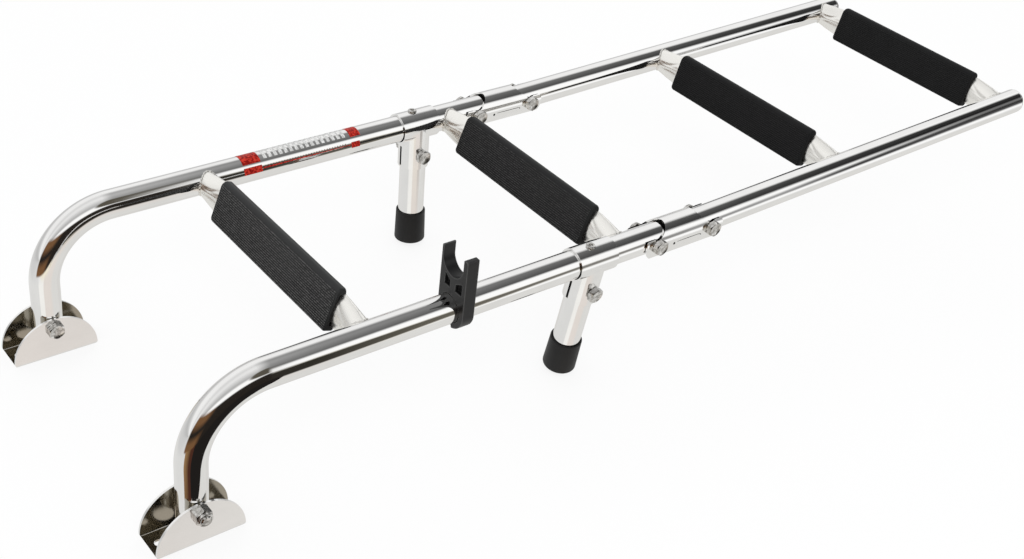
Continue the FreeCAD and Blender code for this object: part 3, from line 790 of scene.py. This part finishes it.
def wrap_mesh(x0, x1, start, end, rise, narrow=1.0):
    """Thin patch on the right rail between two angles; narrow shrinks its far end."""
    middle = (start + end) / 2

    def corners_at(share):
        near = start + (end - start) * share
        far = middle + (near - middle) * narrow
        return (x0, RAIL_R, near), (x1, RAIL_R, far), (x1, RAIL_R + rise, far), (x0, RAIL_R + rise, near)

    return rail_patch("right", corners_at, 14)


def row_tree():
    """Copies of a small mesh set side by side along X."""
    tree, given, end = new_tree("row_of_marks", {"Count": "Int", "Pitch": "Float", "Material": "Material"})
    return close_tree(tree, row(tree, given, "X", given["Geometry"]), given, end)


def printed_strip():
    for name, *patch in PRINT_BLOCKS:
        add_piece(name, wrap_mesh(*patch, PRINT_RISE), RED_PRINT, "upper_section")
    line = wrap_mesh(203 * MM, 295 * MM, 15, 21, MARK_RISE, 0.35)
    add_piece("strip_line", line, RED_PRINT, "upper_section")
    tree = row_tree()
    for name, x0, width, start, end, count, pitch, ink in PRINT_ROWS:
        mark = wrap_mesh(x0, x0 + width, start, end, MARK_RISE)
        mesh = grow(mark, tree, {"Count": count, "Pitch": pitch, "Material": ink})
        add_piece(name, mesh, ink, "upper_section")


# Fasteners

BOLT_R = 4 * MM
THREAD_PITCH = 1.0 * MM
THREAD_DEPTH = 0.45 * MM
TIP_CHAMFER = 0.8 * MM
HEAD_FLATS = 13 * MM
HEAD_HEIGHT = 5.3 * MM
WASHER_FACE = 0.5 * MM
HEX_SLOPE = 0.55
DISH_DEPTH = 0.6 * MM
LEG_BOLT_DROP = 28 * MM
# Half of what a bolt grips, how far its tip reaches, and its nut's flats and height
BRACKET_FIT = mm(15.2, 23.7, 13, 7.5)
HINGE_FIT = mm(14.8, 19.3, 12.4, 4.2)
LEG_FIT = mm(14.9, 23.4, 13, 7.5)


def joined(*parts):
    """One mesh from (mesh, rise along Z) pairs."""
    bm = bmesh.new()
    for mesh, rise in parts:
        mesh.transform(Matrix.Translation((0, 0, rise)))
        bm.from_mesh(mesh)
    return mesh_from(bm)


def hexagon(flats, height, dished=True, sides=72):
    """Hexagon standing on Z = 0, its top corners turned off and its top dished or flat."""
    inner = flats / 2
    top = 0.96 * inner
    dish_r, sink = (0.7 * inner, DISH_DEPTH) if dished else (1.0 * MM, 0.0)
    bm = bmesh.new()
    foot, shoulder, crown, dish = [], [], [], []
    for k in range(sides):
        turn = 2 * pi * k / sides
        reach = inner / cos((turn + pi / 6) % (pi / 3) - pi / 6)
        way = Vector((cos(turn), sin(turn), 0))
        foot.append(bm.verts.new(reach * way))
        shoulder.append(bm.verts.new(reach * way + (height - HEX_SLOPE * (reach - top)) * Z_AXIS))
        crown.append(bm.verts.new(top * way + height * Z_AXIS))
        dish.append(bm.verts.new(dish_r * way + (height - sink) * Z_AXIS))
    skin(bm, (foot, shoulder, crown, dish), True)
    return mesh_from(bm)


def hex_bolt(name, body, place, grip, reach):
    """Hexagon bolt, head at +Z beyond its grip and a threaded tip at the other end."""
    profile = [(0.0, -reach), (BOLT_R - TIP_CHAMFER, -reach)]
    height = -reach + TIP_CHAMFER
    while height < -grip:
        profile += [(BOLT_R, height), (BOLT_R - THREAD_DEPTH, height + THREAD_PITCH / 2)]
        height += THREAD_PITCH
    profile += [(BOLT_R, -grip), (BOLT_R, grip), (0.0, grip)]
    shank = turned(profile, sides=40)
    wide = 0.49 * HEAD_FLATS
    profile = [(0.0, grip), (wide, grip), (wide, grip + WASHER_FACE), (0.0, grip + WASHER_FACE)]
    head = hexagon(HEAD_FLATS, HEAD_HEIGHT - WASHER_FACE)
    mesh = joined((shank, 0), (turned(profile, sides=60), 0), (head, grip + WASHER_FACE))
    dress(name, "hex", mesh, BOLT_STEEL, body, 25.0, place)


def closed_ring(profile, sides):
    """Turned ring whose profile ends where it starts."""
    return turned(profile + profile[:1], sides=sides, weld=True)


def lock_nut(name, body, place, grip, flats, height):
    """Hexagon locknut with a rounded collar and its nylon ring."""
    collar = 0.3 * height
    edge = flats / 2 - 0.5 * MM
    ease = min(0.8 * MM, 0.7 * collar)
    lip = BOLT_R + 0.35 * (edge - ease - BOLT_R)
    bore = BOLT_R + 0.05 * MM
    step, sunk, deep = height - 0.5 * MM, height - 0.3 * MM, height - 0.9 * MM
    profile = [(bore, height - collar), (edge, height - collar)]
    profile += arc_points(edge - ease, height - ease, ease, 0, 90, 6)
    profile += [(lip, height), (lip, step), (bore, step)]
    away = place @ Matrix.Rotation(pi, 4, "X") @ Matrix.Translation((0, 0, grip))
    mesh = joined((closed_ring(profile, 60), 0), (hexagon(flats, height - collar, False), 0))
    dress(name, "hex", mesh, BOLT_STEEL, body, 25.0, away)
    mesh = closed_ring([(BOLT_R, sunk), (lip, sunk), (lip, deep), (BOLT_R, deep)], 40)
    add_piece(name + "_insert", mesh, NUT_INSERT, body, place=away)


def bolt_and_nut(kind, side, body, place, grip, reach, flats, height):
    hex_bolt(kind + "_bolt_" + side, body, place, grip, reach)
    lock_nut(kind + "_nut_" + side, body, place, grip, flats, height)


def clamp_screw(side):
    """Pan head screw on the clamp's crown, with a round recess."""
    shank, foot, seat, head, top = mm(2.0, 12.6, 14.3, 4.2, 16.4)
    profile = [(0.0, foot), (shank, foot), (shank, seat), (head, seat)]
    profile += arc_points(3.3 * MM, 15.4 * MM, 0.95 * MM, 0, 80, 6)
    profile += [(1.9 * MM, top), mm(1.6, 15.2), mm(0.0, 15.1)]
    mesh = turned(profile, Vector((-3.5 * MM, 0, 0)), sides=48)
    dress("clamp_screw_" + side, "pan", mesh, BOLT_STEEL, "upper_section", 35.0, leg_place(side))


def fasteners(side):
    """Bolts with their nuts; a fastener's own Z points to its head."""
    y = RAIL_Y[side]
    head_turn = -pi / 2 if side == "left" else pi / 2
    deck = posed((0, y, BRACKET_BOLT_Z), head_turn, "X")
    bolt_and_nut("bracket", side, "brackets", deck, *BRACKET_FIT)
    for kind, x in (("hinge_pivot", PIVOT_X), ("hinge_fold", FOLD_X)):
        place = posed((x, y, RAIL_Z), pi / 2, "X")
        bolt_and_nut(kind, side, "hinge_links", place, *HINGE_FIT)
    through_leg = posed((0, 0, -LEG_BOLT_DROP), pi / 2, "X")
    bolt_and_nut("leg", side, "upper_section", leg_place(side) @ through_leg, *LEG_FIT)
    clamp_screw(side)


# Pressed and moulded parts keep their CAD shape, with eased edges

DOTS = (mm(461.8, 1.6), mm(494, 0.9))
GROOVE = ((464.5, 0.0), (465.5, 0.25), (477, 0.35), (493, 0.3), (494, 0.0))
MARK_DROP = 3 * MM
# Reach down the leg of the painted shade behind a clamp's slit.
SLIT_SHADE_TOP = 20 * MM
SLIT_SHADE_FOOT = 42 * MM


def eased_node(name, material, body, width):
    """Stand-in for a CAD node with its sharp edges rounded over."""
    bm = bmesh.new()
    bm.from_mesh(frame["nodes"][name].data)
    bmesh.ops.remove_doubles(bm, verts=bm.verts, dist=2e-6)
    bmesh.ops.dissolve_limit(bm, angle_limit=radians(0.4), verts=bm.verts, edges=bm.edges)
    clean = bpy.data.meshes.new(name + "_clean")
    bm.to_mesh(clean)
    bm.free()
    holder = placed(name + "_holder", clean)
    modify(holder, "BEVEL", width=width, segments=2, limit_method="ANGLE",
           angle_limit=radians(40), miter_outer="MITER_ARC")
    clean.shade_smooth()
    clean.set_sharp_from_angle(angle=radians(50))
    modify(holder, "WEIGHTED_NORMAL", keep_sharp=True)
    return dress(name, "eased", evaluated_mesh(holder), material, body, None)


def rounded_node(name, material, body, voxel):
    """Stand-in for a moulded CAD node, its edges rounded as a mould leaves them."""
    holder = placed(name + "_holder", frame["nodes"][name].data.copy())
    modify(holder, "REMESH", mode="VOXEL", voxel_size=voxel)
    modify(holder, "SMOOTH", factor=0.5, iterations=7)
    dress(name, "moulded", evaluated_mesh(holder), material, body, 180.0)


def recoat(piece, material, chosen):
    """Give the faces that a test picks a second material."""
    piece.data.materials.append(material)
    for face in piece.data.polygons:
        if chosen(face):
            face.material_index = 1


def bracket(side):
    """Folded bracket, its inner cheeks and floor painted darker than its outside as shade."""
    def shaded(face):
        inward = face.normal.y * (face.center.y - RAIL_Y[side]) < 0 and abs(face.normal.y) > 0.9
        floor = face.normal.z > 0.9 and face.center.z < 5 * MM
        return inward or floor

    recoat(eased_node("bracket_" + side, SHEET_STEEL, "brackets", 0.35 * MM), SHADED_STEEL, shaded)


def hinge_sleeve(side):
    """Sleeve with painted shade on the faces that look back at the rail's axis."""
    def hidden(face):
        across = Vector((0, face.center.y - RAIL_Y[side], face.center.z - RAIL_Z))
        return face.normal.dot(across) < -0.3 * across.length and abs(face.normal.x) < 0.5

    recoat(eased_node("hinge_sleeve_" + side, SLEEVE_STEEL, "hinge_links", 0.3 * MM), GAP, hidden)


def sleeve_marks(side):
    """Two pressed dots and the line between them on a sleeve's outer cheek, painted dark as the shade inside
    the relief holes and along the bend line.
    """
    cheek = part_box("hinge_sleeve_" + side)[0].y
    z = RAIL_Z - MARK_DROP
    sunk, shoulder, crown = -0.6 * MM, -0.05 * MM, 0.02 * MM
    for k, (x, radius) in enumerate(DOTS):
        dome = [(0.0, sunk), (radius, sunk), (radius, shoulder), (0.7 * radius, crown), mm(0.0, 0.03)]
        mesh = turned(dome, Vector((x, cheek, z)), -Y_AXIS, X_AXIS, 24)
        add_piece(f"sleeve_dot_{k + 1}_{side}", mesh, GAP, "hinge_links")
    profile = [(radius * MM, x * MM) for x, radius in GROOVE]
    mesh = turned(profile, Vector((0, cheek + 0.15 * MM, z + 1 * MM)), X_AXIS, Y_AXIS, 12)
    add_piece("sleeve_line_" + side, mesh, GAP, "hinge_links")


def clamp_gaps(side):
    """Painted shade: a dark sleeve behind a clamp's slit, and a painted shadow line where its band meets the
    rail.
    """
    wide = RAIL_R + 0.15 * MM
    slit_shade = [(0.0, -SLIT_SHADE_TOP), (wide, -SLIT_SHADE_TOP), (wide, -SLIT_SHADE_FOOT), (0.0, -SLIT_SHADE_FOOT)]
    mesh = turned(slit_shade, sides=60)
    add_piece("clamp_slit_shade_" + side, mesh, GAP, "upper_section", 60.0, leg_place(side))
    band_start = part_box("leg_clamp_" + side)[0].x
    near, far = band_start - 0.25 * MM, band_start + 1 * MM

    def corners_at(share):
        turn = -75 + 110 * share
        outer = RAIL_R + 0.1 * MM + 0.75 * MM * sin(pi * share)
        return (near, RAIL_R, turn), (far, RAIL_R, turn), (far, outer, turn), (near, outer, turn)

    add_piece("clamp_shadow_" + side, rail_patch(side, corners_at, 24), GAP, "upper_section", 50.0)


def dress_nodes():
    """Pressed sheet parts with their fasteners, and the moulded clip."""
    for side in SIDES:
        bracket(side)
        hinge_sleeve(side)
        sleeve_marks(side)
        eased_node("leg_clamp_" + side, CLAMP_STEEL, "upper_section", 0.4 * MM)
        clamp_gaps(side)
        fasteners(side)
    rounded_node("stow_clip", CLIP_PLASTIC, "upper_section", 0.4 * MM)


# Studio: pale floor, plain light, and dark cards that only polished metal sees

FLOOR_HALF = 20.0
FLOOR_DROP = 0.3 * MM
WHITE = (1.0, 1.0, 1.0)
CARD_TOP = 112 * MM
BROWN_CARD_X = -45 * MM
BROWN_CARD_ENDS = mm(-16, -110)
BROWN_CARD_FOOT = -30 * MM
BLACK_CARD_Y = -70 * MM
# The black card's outline as (x, z): its foot rises past the post to miss the bracket's cheek
BLACK_CARD = (mm(-50, -18), mm(4, -18), mm(96, 30), (96 * MM, CARD_TOP), (-50 * MM, CARD_TOP))


def even_glow(tree, kind, colour):
    return node(tree, kind, {"Color": colour, "Strength": 1.0})


def either(tree, share, first, second):
    """One shader or the other, by a share."""
    return node(tree, "ShaderNodeMixShader", {0: share, 1: first, 2: second})


def stage_surface(name, corners, material):
    mesh = bpy.data.meshes.new(name)
    mesh.from_pydata(corners, [], [tuple(range(len(corners)))])
    mesh.materials.append(material)
    return placed(name, mesh)


def floor_material():
    """Nearly white floor that still takes the ladder's soft shadow."""
    material = bpy.data.materials.new("studio_floor")
    tree = cleared(material)
    paint = node(tree, "ShaderNodeBsdfDiffuse", {"Color": (0.93, 0.93, 0.93)})
    glow = even_glow(tree, "ShaderNodeEmission", WHITE)
    seen = node(tree, "ShaderNodeLightPath").outputs["Is Camera Ray"]
    mix = either(tree, product(tree, seen, 0.85), paint, glow)
    node(tree, "ShaderNodeOutputMaterial", {"Surface": mix})
    return material


def studio_floor():
    ends = ((-1, -1), (1, -1), (1, 1), (-1, 1))
    corners = [(FLOOR_HALF * x, FLOOR_HALF * y, 0) for x, y in ends]
    floor = stage_surface("studio_floor", corners, floor_material())
    floor.location.z = -FLOOR_DROP
    floor.visible_glossy = False


def reflected_panel(name, corners, near, far):
    """Dark glowing card that shows only to steep rays from polished metal, where it paints a dark reflection,
    shaded between two colours.
    """
    material, tree, place = new_material(name)
    split = node(tree, "ShaderNodeSeparateXYZ", {0: place}).outputs
    sideways = spread(tree, split["Y"], -17 * MM, -46 * MM)
    deeper = spread(tree, split["Z"], 60 * MM, -10 * MM, 0.0, 0.45)
    shade = maths(tree, "MAXIMUM", sideways, total(tree, deeper, product(tree, sideways, 0.6)))
    glow = even_glow(tree, "ShaderNodeEmission", tint(tree, shade, near, far))
    clear = node(tree, "ShaderNodeBsdfTransparent")
    incoming = node(tree, "ShaderNodeNewGeometry").outputs["Incoming"]
    steep = spread(tree, node(tree, "ShaderNodeSeparateXYZ", {0: incoming}).outputs["Z"], 0.262, 0.285)
    node(tree, "ShaderNodeOutputMaterial", {"Surface": either(tree, steep, clear, glow)})
    panel = stage_surface(name, corners, material)
    for kind in ("camera", "diffuse", "transmission", "shadow", "volume_scatter"):
        setattr(panel, "visible_" + kind, False)


def post_panels():
    """A brown and a black glowing card beside the near post, seen only in its polish as painted reflections.
    """
    near, far = BROWN_CARD_ENDS
    outline = ((near, BROWN_CARD_FOOT), (far, BROWN_CARD_FOOT), (far, CARD_TOP), (near, CARD_TOP))
    corners = [(BROWN_CARD_X, y, z) for y, z in outline]
    reflected_panel("brown_card", corners, (0.34, 0.20, 0.09), (0.075, 0.028, 0.018))
    corners = [(x, BLACK_CARD_Y, z) for x, z in BLACK_CARD]
    reflected_panel("black_card", corners, (0.030, 0.018, 0.014), (0.016, 0.014, 0.013))


def along(tree, place, stops):
    """Level or colour that follows a place between 0 and 1 through (place, level) stops."""
    ramp = node(tree, "ShaderNodeValToRGB", {"Fac": place})
    elements = ramp.color_ramp.elements
    elements[0].position = stops[0][0]
    elements[1].position = stops[-1][0]
    for at, level in stops[1:-1]:
        elements.new(at)
    for element, (at, level) in zip(elements, stops):
        element.color = (*level, 1.0) if isinstance(level, tuple) else (level, level, level, 1.0)
    return ramp.outputs["Color"]


def turned_share(tree, rise, run):
    """Direction of (run, rise) in degrees, and the same as a share of a whole turn."""
    degrees = product(tree, maths(tree, "ARCTAN2", rise, run), 180 / pi)
    return degrees, total(tree, maths(tree, "DIVIDE", degrees, 360.0), 0.5)


def degree_stops(*stops):
    return [((at + 180) / 360, level) for at, level in stops]


def band(tree, value, start, full, leave, end):
    """One inside a band with soft edges and zero outside it."""
    rising = spread(tree, value, start, full, kind="SMOOTHSTEP")
    return product(tree, rising, spread(tree, value, leave, end, 1.0, 0.0, kind="SMOOTHSTEP"))


def dimmed(tree, light, where, level):
    """Light brought down to a level where a mask is one."""
    taken = product(tree, where, maths(tree, "SUBTRACT", 1.0, level))
    return product(tree, light, maths(tree, "SUBTRACT", 1.0, taken))


def room_bands(tree, x, height, shares):
    """The room as the rails mirror it: bright walls, a dark horizon and a dark ceiling.

    The bands lie along X. Height is a direction's angle about X from the front, in degrees,
    and the direction's own x says which stretch of the rails mirrors it.
    """
    walls = along(tree, shares, degree_stops(
        (-180, 0.50), (-165, 0.62), (-120, 0.68), (-60, 0.70), (-38, 0.80), (-24, 1.0),
        (100, 1.0), (112, 0.88), (158, 0.86), (168, 0.62), (180, 0.50)))
    walls = product(tree, walls, 1.12)

    def by_x(*ramp):
        return spread(tree, x, *ramp)

    start = by_x(0.42, 0.58, -40, -18)
    full = total(tree, by_x(0.42, 0.58, -25, -4), by_x(0.64, 0.78, 0, 8))
    leave = total(tree, by_x(0.42, 0.55, 15, 3), by_x(0.68, 0.78, 0, 13))
    end = total(tree, by_x(0.42, 0.55, 28, 14), by_x(0.62, 0.78, 0, 34))
    horizon = band(tree, height, start, full, leave, end)
    level = along(tree, x, (
        (0.08, 0.9), (0.18, 0.08), (0.42, 0.028), (0.49, 0.11),
        (0.56, 0.15), (0.69, 0.34), (0.72, 0.05), (0.80, 0.07)))
    light = dimmed(tree, walls, horizon, level)
    rise = by_x(0.74, 0.78, 0, 8)
    start = total(tree, by_x(0.58, 0.73, 41, 27), rise)
    full = total(tree, by_x(0.58, 0.73, 57, 50), rise)
    leave = by_x(0.40, 0.76, 113, 81)
    end = by_x(0.40, 0.76, 138, 104)
    level = along(tree, x, (
        (0.15, 0.80), (0.30, 0.50), (0.42, 0.26), (0.56, 0.15), (0.69, 0.052), (0.78, 0.030)))
    level = product(tree, level, spread(tree, height, 58, 92, 0.55, 1.0))
    light = dimmed(tree, light, band(tree, height, start, full, leave, end), level)
    shadowed = product(tree, by_x(0.72, 0.775), band(tree, height, 8, 22, 50, 66))
    light = dimmed(tree, light, shadowed, 0.22)
    olive = product(tree, horizon, by_x(0.66, 0.52, 0.0, 0.24))
    green, blue = dimmed(tree, light, olive, 0.7), dimmed(tree, light, olive, 0.0)
    return node(tree, "ShaderNodeCombineXYZ", {0: light, 1: green, 2: blue})


def deck_light(tree, shares):
    """What lies below, by compass: warm boards, a cream patch and plain grey."""
    grey = (0.80, 0.80, 0.79)
    cream = (1.0, 0.99, 0.96)
    warm = (0.85, 0.79, 0.745)
    pale = (0.79, 0.785, 0.765)
    dull = (0.75, 0.74, 0.72)
    return along(tree, shares, degree_stops(
        (-180, grey), (-158, grey), (-154, cream), (-124, cream), (-119, warm), (-74, warm),
        (-55, pale), (-8, pale), (2, dull), (90, dull), (98, grey), (180, grey)))


def bend_streak(tree, x, front, z):
    """Where the dark reflected streak round the bends lies, and its colour, a brown reflection at its far
    left.
    """
    beside = spread(tree, maths(tree, "SUBTRACT", product(tree, front, 0.55), x), 0.0, 0.07)
    level = product(tree, spread(tree, z, -0.33, -0.29), spread(tree, z, 0.48, 0.38))
    where = product(tree, beside, spread(tree, x, 0.42, 0.36), spread(tree, front, 0.0, 0.1), level)
    brown_share = maths(tree, "MAXIMUM", spread(tree, z, 0.05, 0.25), spread(tree, z, 0.0, -0.16))
    brown_share = product(tree, brown_share, spread(tree, x, -0.46, -0.68))
    return where, tint(tree, brown_share, (0.022, 0.018, 0.015), (0.19, 0.095, 0.042))


def corner_shade(tree, way, x):
    """Round dim patch that the bracket corners mirror."""
    centre = Vector((0.30, -0.64, 0.70)).normalized()
    facing = node(tree, "ShaderNodeVectorMath", {0: way, 1: centre}, operation="DOT_PRODUCT").outputs["Value"]
    patch = spread(tree, facing, 0.945, 0.975, kind="SMOOTHSTEP")
    return product(tree, patch, spread(tree, x, 0.40, 0.33))


def studio_world():
    """White to the camera, even to the plastics, and a room of bands to polished metal."""
    world = bpy.data.worlds.new("studio")
    bpy.context.scene.world = world
    tree = cleared(world)
    way = node(tree, "ShaderNodeTexCoord").outputs["Generated"]
    x, y, z = node(tree, "ShaderNodeSeparateXYZ", {0: way}).outputs
    front = product(tree, y, -1.0)
    height, height_share = turned_share(tree, z, front)
    compass_share = turned_share(tree, y, x)[1]
    below = spread(tree, z, -0.32, -0.48, kind="SMOOTHSTEP")
    room = tint(tree, below, room_bands(tree, x, height, height_share), deck_light(tree, compass_share))
    where, streak = bend_streak(tree, x, front, z)
    room = tint(tree, where, room, streak)
    room = tint(tree, corner_shade(tree, way, x), room, (0.10, 0.09, 0.07))
    path = node(tree, "ShaderNodeLightPath").outputs
    plain, studio, white = (
        even_glow(tree, "ShaderNodeBackground", colour) for colour in ((0.86, 0.865, 0.87), room, WHITE))
    lit = either(tree, path["Is Glossy Ray"], plain, studio)
    seen = either(tree, path["Is Camera Ray"], lit, white)
    node(tree, "ShaderNodeOutputWorld", {"Surface": seen})


def soft_light(name, place, target, size, power):
    light = bpy.data.lights.new(name, "AREA")
    light.shape = "RECTANGLE"
    light.size = size
    light.size_y = size * 0.6
    light.energy = power
    lamp = placed(name, light)
    lamp.location = place
    lamp.rotation_euler = (Vector(target) - Vector(place)).to_track_quat("-Z", "Y").to_euler()
    lamp.visible_glossy = False


# Camera, from the photograph's own perspective
CAMERA_PLACE = mm(-361.6, -731.9, 797.1)
CAMERA_HEADING = radians(48.31)
CAMERA_DROP = radians(34.02)
CAMERA_ROLL = radians(7.27)
LENS = 50.74
SENSOR = 36.0


def photo_camera():
    heading, drop, roll = CAMERA_HEADING, CAMERA_DROP, CAMERA_ROLL
    flat = cos(drop)
    forward = Vector((flat * cos(heading), flat * sin(heading), -sin(drop)))
    level = Vector((sin(heading), -cos(heading), 0))
    right = level * cos(roll) + level.cross(forward) * sin(roll)
    up = right.cross(forward)
    data = bpy.data.cameras.new("photo_camera")
    data.sensor_fit = "HORIZONTAL"
    data.sensor_width = SENSOR
    data.lens = LENS
    data.clip_end = 60.0
    camera = placed("photo_camera", data)
    turn = Matrix((right, up, -forward)).transposed().to_4x4()
    camera.matrix_world = Matrix.Translation(CAMERA_PLACE) @ turn
    bpy.context.scene.camera = camera


for side in SIDES:
    upper_rail(side)
    lower_rail(side)
    leg(side)
for number in STEPS:
    weld_beads(number, rung(number))
    tread(number)
dress_nodes()
printed_strip()

LADDER_MIDDLE = (0.45, 0.13, 0.1)
studio_floor()
post_panels()
studio_world()
soft_light("key_light", (-0.9, -1.6, 2.2), LADDER_MIDDLE, 1.8, 20.0)
soft_light("fill_light", (1.6, 1.8, 2.0), LADDER_MIDDLE, 2.0, 8.0)
photo_camera()
bpy.context.scene.view_settings.view_transform = "Standard"
